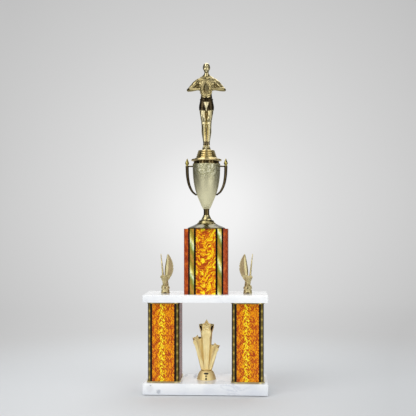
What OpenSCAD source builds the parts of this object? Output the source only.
// Two-post trophy: marble base and deck, three foil-wrapped columns, a cup riser with an
// achievement figure on top, two spread-wing eagles and a triple shooting-star riser.
// Everything is clamped by threaded rods. Millimetres, +Z up, the front looks along -Y.
// Origin: middle of the footprint, on the surface that the felt pads stand on.

/* [Slabs] */
// Width of both marble slabs
slab_w = 254; // [240:1:320]
// Depth of both marble slabs
slab_d = 114.3; // [104:0.1:150]
// Thickness of the base slab
base_t = 22.5; // [18:0.5:30]
// Thickness of the deck slab above the posts
deck_t = 15; // [13:0.5:20]
// Bevel along the upper edges of the slabs
slab_bevel = 1.4; // [0.4:0.1:3]
// Diameter of a felt pad
pad_d = 20; // [12:1:26]
// Thickness of a felt pad
pad_t = 1.5; // [1:0.1:3]
// Distance from a slab edge to the middle of a felt pad
pad_inset = 18; // [14:1:24]

/* [Columns] */
// Wide side of the column section
column_wide = 91; // [76:0.5:100]
// Narrow side of the column section
column_narrow = 65.5; // [54:0.5:70]
// Radius of the column's corners
column_corner = 12; // [8:0.5:16]
// Wall of the column tube
column_wall = 2; // [1.5:0.1:3]
// Length of a post's tube, between its caps
post_h = 158; // [130:1:220]
// Length of the centre column's tube
centre_h = 134.5; // [110:0.5:200]
// Distance from a slab's end to the axis of the post there
post_inset = 41; // [39:0.5:50]

/* [Trim caps and plugs] */
// Thickness of a trim cap's visible flange
cap_t = 3; // [1.5:0.1:4]
// Overhang of a trim cap's flange around the tube
cap_lip = 2; // [1:0.1:3]
// Depth of a trim cap's skirt inside the tube
skirt_h = 9; // [6:0.5:14]
// Wall of a trim cap's skirt and of a plug
skirt_wall = 2.2; // [1.8:0.1:3]
// Height of the plugs inside the centre column
plug_h = 14; // [10:1:24]

/* [Fastenings] */
// Diameter of the threaded rods and of the star screw
rod_d = 6.35; // [5:0.05:7.7]
// Hole for a rod through marble, caps, plugs and the cup
rod_hole_d = 7.9; // [7:0.1:9.6]
// Width across the flats of the hex nuts
nut_af = 11.1; // [10:0.1:13.4]
// Thickness of a full nut
nut_t = 5.6; // [4.5:0.1:6.8]
// Thickness of a jam nut
jam_t = 4; // [3.2:0.1:4.8]
// Diameter of a flat washer
washer_d = 15.9; // [14.5:0.1:18]
// Diameter of the small washers inside the eagles' bases
small_washer_d = 13.9; // [13.4:0.1:14.2]
// Thickness of a flat washer
washer_t = 1.6; // [1.2:0.1:2.4]
// Diameter of the counterbores in the marble
counterbore_d = 20; // [18.5:0.5:26]
// Diameter of the brass thread inserts
insert_d = 8.6; // [8.4:0.1:9.4]
// Length of the brass thread inserts
insert_h = 7; // [5:0.5:9]

/* [Cup riser] */
// Height of the cup's spread foot
foot_h = 28; // [22:0.5:34]
// Radius of the cup's spread foot
foot_r = 39.5; // [32:0.5:44]
// Height of the dark stem
stem_h = 13; // [9:0.5:18]
// Radius of the dark stem
stem_r = 5.9; // [5.6:0.1:7]
// Height of the bowl
bowl_h = 93.7; // [75:0.1:115]
// Largest radius of the bowl
bowl_r = 28.8; // [24:0.1:34]
// Wall of the bowl, the foot and the pedestal
shell_t = 2; // [1.6:0.1:2.6]
// Height of the lid above the bowl's rim
lid_h = 10.6; // [8:0.1:14]
// Radius of the lid's flange
lid_r = 32; // [27:0.1:38]
// Reach of the handles from the axis
handle_reach = 43.8; // [40:0.1:52]
// Thickness of a handle at its top
handle_t = 6.8; // [4.5:0.1:8.2]

/* [Figures] */
// Height of the figure's round pedestal
pedestal_h = 18.2; // [15:0.1:24]
// Radius of the pedestal's lower rim
pedestal_r = 24; // [20:0.5:28]
// Height of the achievement figure with its mound
figure_h = 182.5; // [150:0.5:220]
// Height of an eagle with its round base
eagle_h = 82; // [68:0.5:99]
// Radius of an eagle's round base
eagle_base_r = 9.2; // [8.8:0.1:11]
// Turn of each eagle away from the front
eagle_turn = 45; // [0:5:90]
// Height of the star riser's bell base
bell_h = 17.7; // [15:0.1:22]
// Radius of the star riser's bell base
bell_r = 19.8; // [18:0.1:24]
// Height of the three star columns above the bell
stars_h = 105.3; // [88:0.1:127]
// Height of the round base that an eagle perches on
perch_h = 16; // [14:0.5:19]

/* [Hidden] */

// Colours
marble = [0.93, 0.93, 0.95];
foil = [0.85, 0.45, 0.12];
gold = [0.80, 0.68, 0.36];
satin_gold = [0.70, 0.66, 0.48];
pale_gold = [0.88, 0.74, 0.44];
steel = [0.72, 0.73, 0.75];
brass = [0.75, 0.60, 0.30];
felt = [0.12, 0.12, 0.12];

// Clearances
fit_gap = 0.25;     // a skirt or plug inside a tube, a lid inside the bowl
thread_gap = 0.1;   // a nut or insert around a rod
press_gap = 0.05;   // an insert in its pocket
cut = 0.5;          // how far a cutting shape runs past the face that it cuts
round_fn = 96;      // facets of large turned forms
small_fn = 40;      // facets of fasteners

// Places along the height
base_z = pad_t;
base_top = base_z + base_t;
post_z = base_top + cap_t;
deck_z = post_z + post_h + cap_t;
deck_top = deck_z + deck_t;
column_top = deck_top + centre_h;
stem_z = column_top + foot_h;
bowl_z = stem_z + stem_h;
rim_z = bowl_z + bowl_h;
lid_top = rim_z + lid_h;
figure_z = lid_top + pedestal_h;

// Places across the slabs
post_x = slab_w / 2 - post_inset;
pad_x = slab_w / 2 - pad_inset;
pad_y = slab_d / 2 - pad_inset;

// Fastenings
rod_r = rod_d / 2;
nut_depth = washer_t + nut_t;
jam_depth = washer_t + jam_t;
rod_stub = 0.8;     // how far a rod stands out of its nut
base_bore_z = base_z + nut_depth + rod_stub + 0.9;
star_bore_z = base_z + jam_depth + 1.2;
deck_bore_z = deck_z + jam_depth + rod_stub + 0.3;
small_washer_t = 0.8;
nut_room_h = small_washer_t + jam_t + 0.6;
insert_recess = 0.6;

// ---------------------------------------------------------------- curves and skins

// Point at share t between stations i and i + 1 of a list, on a curve through them all
function curve_point(s, i, t) =
    let (
        a = s[max(i - 1, 0)],
        b = s[i],
        c = s[i + 1],
        d = s[min(i + 2, len(s) - 1)]
    )
    0.5 * (2 * b + t * (c - a) + t * t * (2 * a - 5 * b + 4 * c - d)
        + t * t * t * (3 * b - 3 * c + d - a));

// The same curve as a list, with `steps` pieces between two stations
function curve(s, steps) = [
    for (i = [0:len(s) - 2], k = [0:steps - 1]) curve_point(s, i, k / steps),
    s[len(s) - 1]
];

// Points of an arc in a profile, from angle a to angle b
function arc(centre, r, a, b, steps = 8) = [
    for (k = [0:steps]) centre + r * [cos(a + (b - a) * k / steps), sin(a + (b - a) * k / steps)]
];

function unit(v) = v / norm(v);
function head3(s) = [s.x, s.y, s.z];

// Direction of a path of stations at its entry i
function heading(path, i) =
    unit(head3(path[min(i + 1, len(path) - 1)]) - head3(path[max(i - 1, 0)]));

// Oval ring square to direction d, half widths a (along `side`) and b; square = 2 is an ellipse
function ring(centre, d, side, a, b, n, square = 2) =
    let (u = unit(side - (side * d) * d), v = cross(d, u))
    [
        for (k = [0:n - 1])
            let (c = cos(360 * k / n), s = sin(360 * k / n))
            centre + a * sign(c) * pow(abs(c), 2 / square) * u
                + b * sign(s) * pow(abs(s), 2 / square) * v
    ];

// Star ring with five points, square to direction d; `up` is where one point aims
function star_ring(centre, d, up, r, inner) =
    let (u = unit(up - (up * d) * d), v = cross(d, u))
    [
        for (k = [0:9])
            let (rr = k % 2 == 0 ? r : r * inner)
            centre + rr * cos(36 * k) * u + rr * sin(36 * k) * v
    ];

// Closed solid over rings that all have the same number of points
module skin(rings) {
    n = len(rings[0]);
    last = len(rings) - 1;
    points = [for (r = rings) each r];
    walls = [
        for (i = [0:last - 1], j = [0:n - 1])
            let (k = (j + 1) % n, a = i * n, b = (i + 1) * n)
            each [[a + j, b + j, b + k], [a + j, b + k, a + k]]
    ];
    ends = [[for (j = [0:n - 1]) j], [for (j = [n - 1:-1:0]) last * n + j]];
    polyhedron(points = points, faces = concat(walls, ends), convexity = 6);
}

// Limb through stations [x, y, z, half width, half depth]; `side` aims its half width
module limb(stations, side = [1, 0, 0], n = 12, steps = 2, square = 2) {
    path = curve(stations, steps);
    skin([
        for (i = [0:len(path) - 1])
            ring(head3(path[i]), heading(path, i), side, path[i][3], path[i][4], n, square)
    ]);
}

module ellipsoid(at, radii, n = 14) {
    translate(at)
        scale(radii)
            sphere(r = 1, $fn = n);
}

// ---------------------------------------------------------------- slabs, tubes, fasteners

// Slab standing on z = 0 with its upper edges bevelled and its upright edges broken
module slab(h) {
    w = slab_w / 2;
    d = slab_d / 2;
    b = slab_bevel;
    intersection() {
        translate([0, d, 0])
            rotate([90, 0, 0])
                linear_extrude(slab_d)
                    polygon([[-w, 0], [w, 0], [w, h - b], [w - b, h], [b - w, h], [-w, h - b]]);
        translate([-w, 0, 0])
            rotate([90, 0, 90])
                linear_extrude(slab_w)
                    polygon([[-d, 0], [d, 0], [d, h - b], [d - b, h], [b - d, h], [-d, h - b]]);
        linear_extrude(h)
            polygon([
                [-w, b - d], [b - w, -d], [w - b, -d], [w, b - d],
                [w, d - b], [w - b, d], [b - w, d], [-w, d - b]
            ]);
    }
}

module rounded(w, d, r) {
    square([w - 2 * r, d], center = true);
    square([w, d - 2 * r], center = true);
    for (x = [-1, 1], y = [-1, 1])
        translate([x * (w / 2 - r), y * (d / 2 - r)])
            circle(r, $fn = small_fn);
}

// Outline of the column section, grown or shrunk all round
module section(grow = 0) {
    rounded(column_wide + 2 * grow, column_narrow + 2 * grow, column_corner + grow);
}

module tube(h) {
    linear_extrude(h)
        difference() {
            section();
            section(-column_wall);
        }
}

// Trim cap with its flange below and its hollow skirt reaching up into the tube
module trim_cap() {
    inside = -column_wall - fit_gap;
    difference() {
        union() {
            linear_extrude(cap_t)
                section(cap_lip);
            linear_extrude(cap_t + skirt_h)
                section(inside);
        }
        translate([0, 0, cap_t])
            linear_extrude(skirt_h + cut)
                section(inside - skirt_wall);
        rod_hole(-cut, cap_t + 2 * cut);
    }
}

// Plug of the centre column: a floor with the rod hole and a wall around it
module plug() {
    inside = -column_wall - fit_gap;
    difference() {
        linear_extrude(plug_h)
            section(inside);
        translate([0, 0, 2 * skirt_wall])
            linear_extrude(plug_h)
                section(inside - skirt_wall);
        rod_hole(-cut, plug_h);
    }
}

module rod_hole(z, h) {
    translate([0, 0, z])
        cylinder(d = rod_hole_d, h = h, $fn = small_fn);
}

module rod(z, top) {
    color(steel)
        translate([0, 0, z])
            cylinder(r = rod_r, h = top - z, $fn = small_fn);
}

module washer(d, h) {
    color(steel)
        difference() {
            cylinder(d = d, h = h, $fn = small_fn);
            translate([0, 0, -cut])
                cylinder(r = rod_r + 0.3, h = h + 2 * cut, $fn = small_fn);
        }
}

module hex_nut(h) {
    corner_r = nut_af / 2 / cos(30);
    color(steel)
        difference() {
            intersection() {
                cylinder(r = corner_r, h = h, $fn = 6);
                cylinder(r1 = corner_r - 0.4 + h, r2 = corner_r - 0.4, h = h, $fn = small_fn);
            }
            translate([0, 0, -cut])
                cylinder(r = rod_r + thread_gap, h = h + 2 * cut, $fn = small_fn);
        }
}

// Brass insert with a groove around its middle
module thread_insert() {
    r = insert_d / 2;
    groove = 0.5;
    color(brass)
        rotate_extrude($fn = small_fn)
            polygon([
                [rod_r + thread_gap, 0], [r, 0], [r, insert_h * 0.4], [r - groove, insert_h * 0.5],
                [r, insert_h * 0.6], [r, insert_h], [rod_r + thread_gap, insert_h]
            ]);
}

module insert_pocket(depth) {
    translate([0, 0, depth])
        cylinder(d = insert_d + 2 * press_gap, h = insert_h + 2 * press_gap, $fn = small_fn);
}

module at_posts() {
    for (side = [-1, 1])
        translate([side * post_x, 0, 0])
            children();
}

// ---------------------------------------------------------------- base

module felt_pads() {
    color(felt)
        for (x = [-pad_x, pad_x], y = [-pad_y, pad_y])
            translate([x, y, 0])
                cylinder(d = pad_d, h = pad_t, $fn = small_fn);
}

module base_slab() {
    color(marble)
        difference() {
            translate([0, 0, base_z])
                slab(base_t);
            at_posts() {
                rod_hole(base_z - cut, base_t + 2 * cut);
                translate([0, 0, base_z - cut])
                    cylinder(d = counterbore_d, h = base_bore_z - base_z + cut, $fn = small_fn);
            }
            rod_hole(base_z - cut, base_t + 2 * cut);
            translate([0, 0, base_z - cut])
                cylinder(d = counterbore_d, h = star_bore_z - base_z + cut, $fn = small_fn);
        }
}

module base_washers() {
    at_posts()
        translate([0, 0, base_bore_z - washer_t])
            washer(washer_d, washer_t);
}

module base_nuts() {
    at_posts()
        translate([0, 0, base_bore_z - nut_depth])
            hex_nut(nut_t);
}

module post_rod(side) {
    translate([side * post_x, 0, 0])
        rod(base_bore_z - nut_depth - rod_stub, deck_top + nut_room_h + insert_h - insert_recess);
}

// ---------------------------------------------------------------- posts and deck

module post(side) {
    color(foil)
        translate([side * post_x, 0, post_z])
            rotate([0, 0, 90])
                tube(post_h);
}

module bottom_cap(side) {
    color(gold)
        translate([side * post_x, 0, base_top])
            rotate([0, 0, 90])
                trim_cap();
}

module top_cap(side) {
    color(gold)
        translate([side * post_x, 0, deck_z])
            rotate([180, 0, 90])
                trim_cap();
}

module deck_slab() {
    color(marble)
        difference() {
            translate([0, 0, deck_z])
                slab(deck_t);
            at_posts()
                rod_hole(deck_z - cut, deck_t + 2 * cut);
            rod_hole(deck_z - cut, deck_t + 2 * cut);
            translate([0, 0, deck_z - cut])
                cylinder(d = counterbore_d, h = deck_bore_z - deck_z + cut, $fn = small_fn);
        }
}

module deck_washers() {
    at_posts()
        translate([0, 0, deck_top])
            washer(small_washer_d, small_washer_t);
}

module deck_nuts() {
    at_posts()
        translate([0, 0, deck_top + small_washer_t])
            hex_nut(jam_t);
}

// ---------------------------------------------------------------- centre column and its rod

module centre_column() {
    color(foil)
        translate([0, 0, deck_top])
            tube(centre_h);
}

module centre_bottom_plug() {
    color(felt)
        translate([0, 0, deck_top])
            plug();
}

module centre_top_plug() {
    color(felt)
        translate([0, 0, column_top])
            rotate([180, 0, 0])
                plug();
}

module centre_rod() {
    rod(deck_bore_z - jam_depth - rod_stub, figure_z + insert_h - insert_recess);
}

module centre_washer() {
    translate([0, 0, deck_bore_z - washer_t])
        washer(washer_d, washer_t);
}

module centre_nut() {
    translate([0, 0, deck_bore_z - jam_depth])
        hex_nut(jam_t);
}

// ---------------------------------------------------------------- cup riser

// Outside of the foot above z = 0: flared skirt, stepped ring, then the flare to the stem
foot_profile = concat(
    [[foot_r, 0], [foot_r, 0.04 * foot_h]],
    curve([
        [foot_r - 0.8, 0.07 * foot_h], [0.84 * foot_r, 0.16 * foot_h], [0.66 * foot_r, 0.26 * foot_h],
        [0.55 * foot_r, 0.35 * foot_h]
    ], 4),
    [[0.50 * foot_r, 0.35 * foot_h]],
    arc([0.47 * foot_r, 0.40 * foot_h], 0.04 * foot_h, -60, 90, 5),
    curve([
        [0.445 * foot_r, 0.44 * foot_h], [0.41 * foot_r, 0.53 * foot_h], [0.375 * foot_r, 0.62 * foot_h]
    ], 3),
    [[0.30 * foot_r, 0.65 * foot_h], [0.30 * foot_r, 0.69 * foot_h]],
    curve([
        [0.262 * foot_r, 0.72 * foot_h], [0.225 * foot_r, 0.84 * foot_h],
        [stem_r + 1.3, 0.95 * foot_h], [stem_r + 1.2, foot_h]
    ], 3)
);

module cup_foot() {
    hollow_r = foot_r - 2 * shell_t;
    hollow_h = 0.30 * foot_h;
    color(gold)
        translate([0, 0, column_top])
            difference() {
                rotate_extrude($fn = round_fn)
                    polygon(concat([[0, 0]], foot_profile, [[0, foot_h]]));
                translate([0, 0, -cut])
                    rotate_extrude($fn = round_fn)
                        polygon([
                            [stem_r + shell_t, 0], [hollow_r, 0], [0.72 * hollow_r, hollow_h * 0.45],
                            [0.5 * hollow_r, hollow_h], [stem_r + shell_t, hollow_h]
                        ]);
                rod_hole(-cut, foot_h + 2 * cut);
            }
}

module cup_stem() {
    bead = 0.7;
    color(gold)
        translate([0, 0, stem_z])
            difference() {
                rotate_extrude($fn = small_fn)
                    polygon(concat(
                        [[0, 0], [stem_r + bead, 0]],
                        arc([stem_r, bead], bead, 0, 90, 4),
                        [[stem_r, stem_h - 2 * bead]],
                        arc([stem_r, stem_h - bead], bead, -90, 0, 4),
                        [[stem_r + bead, stem_h], [0, stem_h]]
                    ));
                rod_hole(-cut, stem_h + 2 * cut);
            }
}

// Shape of the bowl's side: [share of its radius, share of its height]
bowl_side = curve([
    [0.240, 0], [0.375, 0.080], [0.525, 0.192], [0.680, 0.304], [0.800, 0.416],
    [0.886, 0.528], [0.942, 0.640], [0.978, 0.752], [0.997, 0.864], [1.000, 1.000]
], 3);

function bowl_points(grow) = [for (p = bowl_side) [p.x * bowl_r + grow, p.y * bowl_h]];

// Radius of the bowl's outside at a share of its height
function bowl_r_at(share) = bowl_r * lookup(share, [for (p = bowl_side) [p.y, p.x]]);

// The bowl's outside, grown by a clearance
module bowl_form(grow = 0) {
    rotate_extrude($fn = round_fn)
        polygon(concat([[0, 0]], bowl_points(grow), [[0, bowl_h]]));
}

strut_share = 0.953;  // height of a handle's strut on the bowl
root_share = 0.318;   // height of a handle's lower end on the bowl
peg_r = 1.2;
peg_gap = 0.1;

module at_pegs(side) {
    for (share = [strut_share, root_share])
        translate([0, 0, share * bowl_h])
            rotate([0, side * 90, 0])
                children();
}

module cup_bowl() {
    floor_h = 3;
    color(satin_gold)
        translate([0, 0, bowl_z])
            difference() {
                bowl_form();
                difference() {
                    bowl_form(-shell_t);
                    cylinder(r = bowl_r, h = floor_h, $fn = small_fn);
                }
                translate([0, 0, bowl_h - cut])
                    cylinder(r = bowl_r - shell_t, h = 2 * cut, $fn = round_fn);
                rod_hole(-cut, floor_h + 2 * cut);
                for (side = [-1, 1])
                    at_pegs(side)
                        cylinder(r = peg_r + peg_gap, h = bowl_r + cut, $fn = 24);
            }
}

// Lid: a skirt inside the bowl, the narrow neck above the rim and the round-edged flange
module cup_lid() {
    skirt = (1 - strut_share) * bowl_h - peg_r - 0.6;
    neck_r = bowl_r - shell_t;
    flange_t = 0.43 * lid_h;
    edge = flange_t / 2;
    color(gold)
        translate([0, 0, rim_z])
            difference() {
                rotate_extrude($fn = round_fn)
                    polygon(concat(
                        [[0, -skirt], [bowl_r - shell_t - fit_gap, -skirt], [bowl_r - shell_t - fit_gap, 0]],
                        [[bowl_r, 0], [bowl_r, 0.08 * lid_h], [neck_r, 0.16 * lid_h]],
                        [[neck_r, 0.5 * lid_h], [bowl_r, lid_h - flange_t]],
                        arc([lid_r - edge, lid_h - edge], edge, -90, 90, 8),
                        [[0, lid_h]]
                    ));
                translate([0, 0, -skirt - cut])
                    cylinder(r = bowl_r - 3 * shell_t, h = skirt + lid_h / 2 + cut, $fn = round_fn);
                rod_hole(-cut, lid_h + 2 * cut);
            }
}

// Middle line of a handle from its root to its top: [x, 0, z, half thickness, half width]
function handle_line() =
    let (
        x = handle_reach - handle_t / 2,
        root = bowl_r_at(root_share) + peg_gap + 0.8,
        t = handle_t / 2,
        reach = x - root
    )
    [
        [root, 0, root_share * bowl_h - 0.4, t * 0.48, t * 0.5],
        [root + 0.18 * reach, 0, (root_share + 0.022) * bowl_h, t * 0.56, t * 0.58],
        [root + 0.47 * reach, 0, (root_share + 0.082) * bowl_h, t * 0.68, t * 0.72],
        [root + 0.78 * reach, 0, (root_share + 0.218) * bowl_h, t * 0.82, t * 0.86],
        [x - 0.9, 0, (root_share + 0.405) * bowl_h, t * 0.94, t * 0.95],
        [x, 0, (strut_share - 0.035) * bowl_h, t, t],
        [x, 0, (strut_share + 0.012) * bowl_h, t, t]
    ];

// Flame finial standing on the handle's top
module finial(r, h) {
    rotate_extrude($fn = 24)
        polygon(concat(
            [[0, 0], [r * 0.8, 0]],
            curve([
                [r * 0.62, h * 0.10], [r * 1.02, h * 0.26], [r * 1.05, h * 0.42], [r * 0.62, h * 0.70],
                [r * 0.16, h * 0.97]
            ], 3),
            [[0, h]]
        ));
}

// Round bar along +X at height z, from x0 to x1
module bar(z, x0, x1, r) {
    translate([x0, 0, z])
        rotate([0, 90, 0])
            cylinder(r = r, h = x1 - x0, $fn = 24);
}

// Handle for the right side: the swept ear, its finial, the strut and two pegs in the bowl
module handle_right() {
    x = handle_reach - handle_t / 2;
    strut_z = strut_share * bowl_h;
    root_z = root_share * bowl_h;
    strut_x = bowl_r_at(strut_share) + peg_gap;
    root_x = bowl_r_at(root_share);
    top_z = (strut_share + 0.012) * bowl_h;
    color(gold)
        translate([0, 0, bowl_z]) {
            limb(handle_line(), side = [1, 0, 0], n = 12, steps = 3);
            bar(strut_z, strut_x, x, peg_r * 1.3);
            bar(strut_z, strut_x - shell_t - 0.8, strut_x + 1, peg_r);
            bar(root_z, root_x - shell_t - 0.8, root_x + 2.5, peg_r);
            translate([x, 0, top_z - 0.5])
                finial(0.5 * handle_t + 0.4, 15.7);
        }
}

module handle_left() {
    mirror([1, 0, 0])
        handle_right();
}

// ---------------------------------------------------------------- figure and pedestal

ridges = 4;

module figure_pedestal() {
    rim_h = 2.4;
    low_r = pedestal_r - 2.6;
    top_r = 0.73 * pedestal_r;
    pitch = (pedestal_h - rim_h) / ridges;
    color(gold)
        translate([0, 0, lid_top])
            difference() {
                rotate_extrude($fn = round_fn)
                    polygon(concat(
                        [[0, 0], [pedestal_r, 0], [pedestal_r, rim_h * 0.7], [pedestal_r - 0.7, rim_h]],
                        [
                            for (i = [0:ridges - 1])
                                let (r = low_r - (low_r - top_r) * i / (ridges - 1))
                                each arc([r - 0.42 * pitch, rim_h + (i + 0.5) * pitch], 0.5 * pitch, -75, 75, 5)
                        ],
                        [[0, pedestal_h]]
                    ));
                translate([0, 0, -cut])
                    cylinder(r1 = pedestal_r - 3 * shell_t, r2 = top_r - 3 * shell_t,
                        h = pedestal_h - 2 * shell_t + cut, $fn = round_fn);
                rod_hole(-cut, pedestal_h + 2 * cut);
            }
}

module figure_insert() {
    translate([0, 0, figure_z])
        thread_insert();
}

// Everything of the figure below is drawn for a figure 182.5 mm tall and resized to figure_h.
// Soles are 6.5 mm above the mound's underside. The arms, legs and leaves are made on one
// side and mirrored.
figure_drawn_h = 182.5;
sole_z = 6.5;

module mound() {
    rotate_extrude($fn = 28)
        polygon([[0, 0], [9.6, 0], [9.6, 1.2], [8.8, 3], [7.7, 6.2], [6.4, 9], [4, 10.7], [0, 11.2]]);
}

module torso() {
    limb([
        [0, 0.6, 74, 10.5, 6.8], [0, 0.9, 80, 14.3, 9.0], [0, 0.8, 86, 14.9, 9.2],
        [0, 0.2, 93, 13.6, 8.6], [0, -0.2, 101, 12.6, 8.1], [0, -0.4, 109, 12.3, 8.5],
        [0, -0.4, 118, 14.4, 9.4], [0, -0.2, 127, 18.6, 10.2], [0, 0.4, 134.5, 19.6, 9.8],
        [0, 1.2, 140, 17.6, 8.0], [0, 1.7, 144.8, 12.0, 6.6], [0, 1.6, 148.4, 7.0, 5.6],
        [0, 1.2, 151.5, 5.0, 5.1], [0, 0.4, 159, 4.6, 4.9]
    ], n = 18, steps = 1, square = 2.2);
}

// Muscle forms laid over the torso's skin: chest, belly and the broad back below the arms
module torso_forms() {
    for (x = [-1, 1]) {
        ellipsoid([x * 9.0, -5.6, 131], [9.8, 5.6, 6.6], 12);
        ellipsoid([x * 3.5, -6.9, 111.5], [3.6, 2.4, 5.2], 10);
        limb([
            [x * 13.5, 1.6, 139, 5.0, 6.4], [x * 17.6, 1.4, 130, 6.6, 7.2], [x * 17.8, 1.2, 122.5, 6.4, 7.0],
            [x * 12.4, 0.8, 115.5, 3.2, 6.2], [x * 9.2, 0.6, 108, 1.6, 5.0]
        ], n = 12, steps = 1);
    }
}

// Short trunks with a waistband and a raised front panel that narrows downwards
module trunks() {
    limb([
        [0, 0.6, 75, 11.4, 7.6], [0, 0.9, 80, 14.8, 9.5], [0, 0.8, 86, 15.4, 9.7],
        [0, 0.2, 93, 14.1, 9.1], [0, -0.1, 100, 13.4, 8.7]
    ], n = 18, steps = 1, square = 2.2);
    limb([[0, -0.1, 98.6, 13.9, 9.2], [0, -0.2, 102.4, 13.5, 8.9]], n = 18, steps = 1, square = 2.2);
    limb([
        [0, -6.6, 74.5, 1.0, 2.0], [0, -7.6, 80, 2.8, 3.4], [0, -7.4, 87, 4.7, 3.4],
        [0, -6.9, 94.5, 5.8, 2.6]
    ], n = 10, steps = 1);
}

// Neck, skull and a plain face on even proportions: eyes half way down, nose below them
module head() {
    limb([
        [0, -2.7, 155.6, 2.2, 2.6], [0, -2.0, 157.6, 4.3, 5.0], [0, -1.0, 161, 5.9, 7.6],
        [0, -0.5, 165, 7.1, 8.8], [0, -0.3, 169, 7.2, 8.9], [0, 0, 172.6, 6.1, 7.5],
        [0, 0.2, 175, 3.8, 4.6], [0, 0.2, 176, 0.8, 1.0]
    ], n = 12);
    limb([[0, -9.1, 166.4, 0.6, 0.5], [0, -9.8, 163.6, 0.9, 0.9], [0, -9.4, 161.9, 1.2, 1.0]], n = 8);
    ellipsoid([0, -7.6, 167.6], [4.6, 1.7, 0.9], 10);
    ellipsoid([0, -7.2, 159.7], [1.9, 1.2, 0.7], 10);
    for (x = [-1, 1])
        ellipsoid([x * 7.0, 0.4, 164.6], [0.9, 1.7, 2.5], 10);
}

module leg() {
    limb([
        [7.0, 1.6, 92, 5.4, 7.6], [7.2, 2.4, 85, 7.4, 9.8], [7.1, 2.2, 78, 7.6, 9.8],
        [6.9, 0.8, 71, 7.2, 8.4], [6.3, 0, 64, 6.5, 7.4],
        [5.6, -0.4, 56, 5.8, 6.3], [5.3, -0.9, 47.5, 5.2, 5.5], [5.3, -0.2, 41, 4.8, 5.0],
        [5.6, 1.4, 32.5, 4.4, 5.8], [5.0, 1.2, 23, 3.6, 4.7], [4.2, 0.4, 13, 2.6, 3.4],
        [3.8, 0.2, 6.5, 2.7, 3.7], [3.9, 0.4, 2.5, 2.8, 4.0]
    ], n = 10);
    ellipsoid([5.2, -4.4, 47.5], [3.0, 2.0, 3.4], 8);
    limb([
        [3.8, 3.2, 5.2, 2.5, 2.4], [3.9, -0.8, 4.8, 2.9, 3.0], [4.3, -5.2, 2.4, 3.1, 2.2],
        [4.7, -9.2, 0.0, 3.1, 1.5], [4.9, -11.4, -1.2, 2.2, 1.0]
    ], n = 10, steps = 1);
}

// Web that joins the shins, as a moulded figure has
module web() {
    limb([[0, 1.2, 3, 1.6, 2.2], [0, 1.6, 22, 2.4, 2.4], [0, 1.2, 36, 2.2, 2.6], [0, 1.0, 74, 1.6, 4.6]],
        n = 8, steps = 1);
}

// Arm bent at the elbow, with its hand on the wreath's side
module arm() {
    limb([
        [12.5, 1.2, 138.2, 5.8, 4.6], [17.6, 0.8, 136.6, 6.4, 5.5], [23.4, 0, 132.6, 6.4, 5.9],
        [30.6, -2.4, 125.0, 5.4, 5.3], [35.6, -4.4, 120.2, 4.0, 3.9], [37.4, -5.0, 118.6, 2.4, 2.4]
    ], side = [0, 1, 0], n = 10);
    limb([
        [39.8, -4.6, 118.8, 1.6, 1.6], [37.8, -5.6, 119.0, 3.4, 3.4], [32.4, -8.6, 119.2, 3.9, 4.0],
        [25.6, -12.0, 119.0, 3.6, 3.4], [19.0, -14.6, 118.8, 2.8, 2.5], [14.6, -16.0, 118.6, 2.3, 2.0]
    ], side = [0, 0, 1], n = 10);
    limb([
        [16.4, -15.4, 118.6, 2.2, 1.9], [13.4, -16.9, 119.0, 3.3, 2.2], [10.6, -18.3, 119.4, 3.6, 2.1],
        [7.8, -19.2, 119.8, 3.0, 1.7], [6.0, -19.3, 120.0, 1.6, 1.0]
    ], side = [0, 0, 1], n = 8, steps = 1);
    limb([[12.6, -17.6, 120.8, 1.3, 1.3], [11.0, -19.6, 123.4, 1.2, 1.2], [10.2, -19.8, 125.8, 0.8, 0.8]],
        n = 6, steps = 1);
}

// One branch of the wreath from the tie at the bottom to its tip
branch = curve([
    [0, -15.4, 104.6], [4.8, -16.4, 106.6], [8.8, -17.0, 111], [10.4, -17.0, 117],
    [9.9, -16.4, 123.5], [7.6, -15.4, 129.5], [4.6, -14.2, 133.2]
], 4);

// Leaf: a flat diamond with a ridge, along direction d
module leaf(at, d, out, length, width) {
    w = unit(cross(d, out));
    mid = at + d * length * 0.45;
    skin([
        ring(at, d, out, 0.5, 0.5, 4),
        [mid + out * 1.3, mid + w * width / 2, mid - out * 0.7, mid - w * width / 2],
        ring(at + d * length, d, out, 0.15, 0.15, 4)
    ]);
}

module wreath_half() {
    steps = len(branch) - 1;
    limb([for (i = [0:2:steps]) concat(branch[i], [2.0, 2.2])], side = [0, 1, 0], n = 6, steps = 1);
    for (i = [0:3:steps - 1])
        for (tilt = [-36, 36])
            let (
                along = unit(branch[i + 1] - branch[i]),
                away = unit(cross(along, [0, 1, 0])),
                d = unit(along * cos(tilt) + away * sin(tilt) + [0, -0.2, 0])
            )
            leaf(branch[i], d, [0, -1, 0], 8.2, 5.2);
}

module achiever_figure() {
    color(gold)
        translate([0, 0, figure_z])
            resize([0, 0, figure_h], auto = true)
                difference() {
                    union() {
                        mound();
                        translate([0, 0, sole_z]) {
                            torso();
                            torso_forms();
                            trunks();
                            head();
                            web();
                            ellipsoid([0, -16.6, 104.8], [2.4, 1.8, 2.4], 8);
                            for (x = [0, 1])
                                mirror([x, 0, 0]) {
                                    leg();
                                    arm();
                                    wreath_half();
                                }
                        }
                    }
                    insert_pocket_drawn();
                }
}

// Pocket for the insert, drawn so that it has its true size after the figure is resized
module insert_pocket_drawn() {
    drawn = figure_drawn_h / figure_h;
    translate([0, 0, -cut])
        cylinder(r = (insert_d / 2 + press_gap) * drawn, h = (insert_h + press_gap) * drawn + cut,
            $fn = small_fn);
}

// ---------------------------------------------------------------- eagles

// Drawn 82 mm tall, facing -Y, and resized to eagle_h above its perch
eagle_drawn_h = 82;

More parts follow.
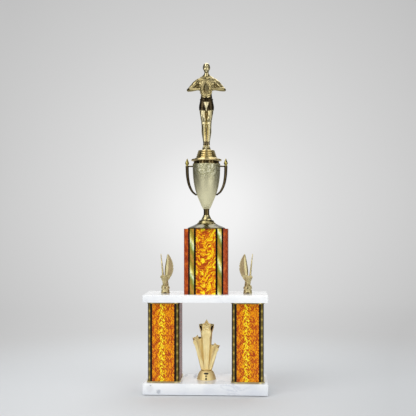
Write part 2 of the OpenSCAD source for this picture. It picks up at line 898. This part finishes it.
// Round base like a spool, with the room for the nut and the pocket for the insert
module eagle_base() {
    r = eagle_base_r;
    h = perch_h;
    rotate_extrude($fn = 26)
        polygon([
            [0, 0], [r, 0], [r, 0.11 * h], [r - 0.5, 0.16 * h], [r - 0.7, 0.36 * h], [r - 1.5, 0.44 * h],
            [r - 1.2, 0.52 * h], [r - 0.4, 0.60 * h], [r - 0.3, 0.72 * h], [r - 0.9, 0.84 * h],
            [r - 2.6, 0.94 * h], [r - 4.8, h], [0, h + 0.8]
        ]);
}

// Body like a funnel over the narrow waist at the perch, neck and head reaching forward
module eagle_body() {
    limb([
        [0, 1.0, 14, 4.4, 4.4], [0, 0.8, 17.2, 3.4, 3.6], [0, 0.4, 21, 4.2, 4.6],
        [0, -0.6, 25.5, 5.6, 6.0], [0, -1.6, 30, 6.4, 6.6], [0, -2.0, 33.2, 5.0, 5.2],
        [0, -2.4, 34.5, 3.1, 3.3]
    ], n = 12, steps = 1);
    limb([
        [0, -1.6, 30.5, 4.4, 4.2], [0, -5.4, 33.6, 3.5, 3.4], [0, -8.8, 34.8, 2.9, 2.8],
        [0, -11.2, 34.4, 2.1, 2.0], [0, -12.8, 33.4, 1.2, 1.2], [0, -13.4, 31.8, 0.5, 0.5]
    ], n = 10, steps = 1);
    // short tail behind the perch, and the legs in front of it
    limb([[0, 3.2, 26, 3.6, 2.0], [0, 5.2, 21, 3.9, 1.5], [0, 5.8, 16, 3.2, 1.0]], n = 8, steps = 1);
    for (x = [-1, 1])
        limb([[x * 2.6, -2.6, 23, 2.2, 2.4], [x * 2.9, -3.0, 18, 1.5, 1.6], [x * 3.2, -4.2, 14, 1.3, 1.2]],
            n = 6, steps = 1);
}

// Chord of a wing at share t of its height: [start, end, lean outward]
wing_sections = curve([
    [0.8, 6.0, 0, 25], [0.2, 11.8, 0.4, 32], [0.0, 16.2, 1.2, 41], [0.5, 18.6, 2.2, 51],
    [2.0, 18.0, 3.3, 61], [4.0, 14.8, 4.4, 71], [5.6, 10.6, 5.2, 78.5], [7.0, 8.2, 5.6, 82]
], 2);

// Wing swept 45 degrees back from the shoulder, with feather steps along its trailing edge
module wing() {
    last = len(wing_sections) - 1;
    skin([
        for (i = [0:last])
            let (
                s = wing_sections[i],
                step = (i % 2 == 0 && i > 0 && i < last) ? 1.1 : 0,
                thick = 2.3 * (1 - 0.68 * i / last),
                lean = s[2] + 2.6
            )
            [
                for (p = [
                    [s[0], 0], [s[0] + 0.12 * (s[1] - s[0]), 0.8], [s[0] + 0.35 * (s[1] - s[0]), 1],
                    [s[0] + 0.75 * (s[1] - s[0]), 0.55], [s[1] - step, 0],
                    [s[0] + 0.75 * (s[1] - s[0]), -0.55], [s[0] + 0.35 * (s[1] - s[0]), -1],
                    [s[0] + 0.12 * (s[1] - s[0]), -0.8]
                ])
                    let (c = p.x, n = p.y * thick + lean)
                    [(c + n) * sqrt(0.5) + 0.6, (c - n) * sqrt(0.5) - 2.2, s[3]]
            ]
    ]);
}

module eagle(side) {
    drawn = eagle_drawn_h / eagle_h;
    color(satin_gold)
        translate([side * post_x, 0, deck_top])
            rotate([0, 0, side * eagle_turn])
                resize([0, 0, eagle_h], auto = true)
                    difference() {
                        union() {
                            scale(drawn)
                                eagle_base();
                            eagle_body();
                            wing();
                            mirror([1, 0, 0])
                                wing();
                        }
                        scale(drawn) {
                            translate([0, 0, -cut])
                                cylinder(d = small_washer_d + 2 * thread_gap, h = nut_room_h + cut,
                                    $fn = small_fn);
                            insert_pocket(nut_room_h - press_gap);
                        }
                    }
}

module eagle_inserts() {
    at_posts()
        translate([0, 0, deck_top + nut_room_h])
            thread_insert();
}

// ---------------------------------------------------------------- star riser

module star_riser_base() {
    top_r = 0.62 * bell_r;
    color(pale_gold)
        translate([0, 0, base_top])
            difference() {
                rotate_extrude($fn = round_fn)
                    polygon(concat(
                        [[0, 0], [bell_r, 0], [bell_r, 0.08 * bell_h]],
                        curve([
                            [bell_r - 0.4, 0.13 * bell_h], [0.93 * bell_r, 0.36 * bell_h],
                            [0.85 * bell_r, 0.60 * bell_h], [0.76 * bell_r, 0.81 * bell_h],
                            [top_r + 1, 0.96 * bell_h], [top_r, bell_h]
                        ], 3),
                        [[0, bell_h]]
                    ));
                translate([0, 0, -cut])
                    rotate_extrude($fn = round_fn)
                        polygon([
                            [insert_d / 2 + shell_t, 0], [bell_r - 1.6 * shell_t, 0],
                            [0.74 * bell_r - shell_t, 0.5 * bell_h], [insert_d / 2 + shell_t, 0.62 * bell_h]
                        ]);
                rod_hole(-cut, bell_h - 2);
                insert_pocket(press_gap);
            }
}

// Star column from the bell to its star: foot point, star centre, the way the star faces
module star_column(foot, top, face, foot_r, neck_r, r) {
    inner = 0.5;
    skin([
        for (t = [0, 0.3, 0.6, 0.8, 0.9, 0.955, 1])
            let (
                d = unit([0, 0, 1] * (1 - t * t) + face * t * t),
                body = foot_r + (neck_r - foot_r) * t,
                size = t > 0.9 ? r : body
            )
            star_ring(foot + (top - foot) * t, d, [0, 0.4, 1], size, inner)
    ]);
    // raised inner star on the face
    rise = 0.09 * r;
    skin([
        star_ring(top - face * rise, face, [0, 0.4, 1], 0.72 * r, inner),
        star_ring(top + face * rise, face, [0, 0.4, 1], 0.62 * r, inner)
    ]);
}

// Three star columns side by side on one foot, sunk below the bell's top face and cut there
module star_riser() {
    lean = 36;
    room = 200;
    color(pale_gold)
        translate([0, 0, base_top + bell_h])
            resize([0, 0, stars_h], auto = true)
                intersection() {
                    union() {
                        star_column([0, 0, -3], [0, 0.8, 91], [0, -cos(lean), sin(lean)], 6.8, 12.4, 16.6);
                        star_column([-5.6, -0.8, -3], [-20.4, -1, 66], unit([-0.3, -0.62, 0.85]),
                            5.0, 8.8, 10.6);
                        star_column([5.6, -0.8, -3], [18.8, -1, 50.5], unit([0.3, -0.62, 0.85]),
                            5.0, 8.6, 10.2);
                        cylinder(r = 10.6, h = 2.4, $fn = 32);
                    }
                    translate([-room / 2, -room / 2, 0])
                        cube(room);
                }
}

module star_insert() {
    translate([0, 0, base_top + press_gap])
        thread_insert();
}

module star_washer() {
    translate([0, 0, star_bore_z - washer_t])
        washer(washer_d, washer_t);
}

// Hex-head screw from below, through the slab into the star riser's insert
module star_screw() {
    head_z = star_bore_z - jam_depth;
    color(steel) {
        translate([0, 0, head_z])
            cylinder(r = nut_af / 2 / cos(30), h = jam_t, $fn = 6);
        rod(head_z + jam_t / 2, base_top + insert_h - insert_recess);
    }
}

// ---------------------------------------------------------------- assembly

felt_pads();
base_slab();
base_washers();
base_nuts();
post_rod(-1);  // post_rod_left
post_rod(1);  // post_rod_right
star_screw();
star_washer();
post(-1);  // post_left
post(1);  // post_right
bottom_cap(-1);  // post_left_bottom_cap
top_cap(-1);  // post_left_top_cap
bottom_cap(1);  // post_right_bottom_cap
top_cap(1);  // post_right_top_cap
deck_slab();
deck_washers();
deck_nuts();
eagle(-1);  // eagle_left
eagle(1);  // eagle_right
eagle_inserts();
centre_column();
centre_bottom_plug();
centre_top_plug();
centre_rod();
centre_washer();
centre_nut();
cup_foot();
cup_stem();
cup_bowl();
cup_lid();
handle_left();  // cup_handle_left
handle_right();  // cup_handle_right
figure_pedestal();
figure_insert();
achiever_figure();
star_riser_base();
star_riser();
star_insert();
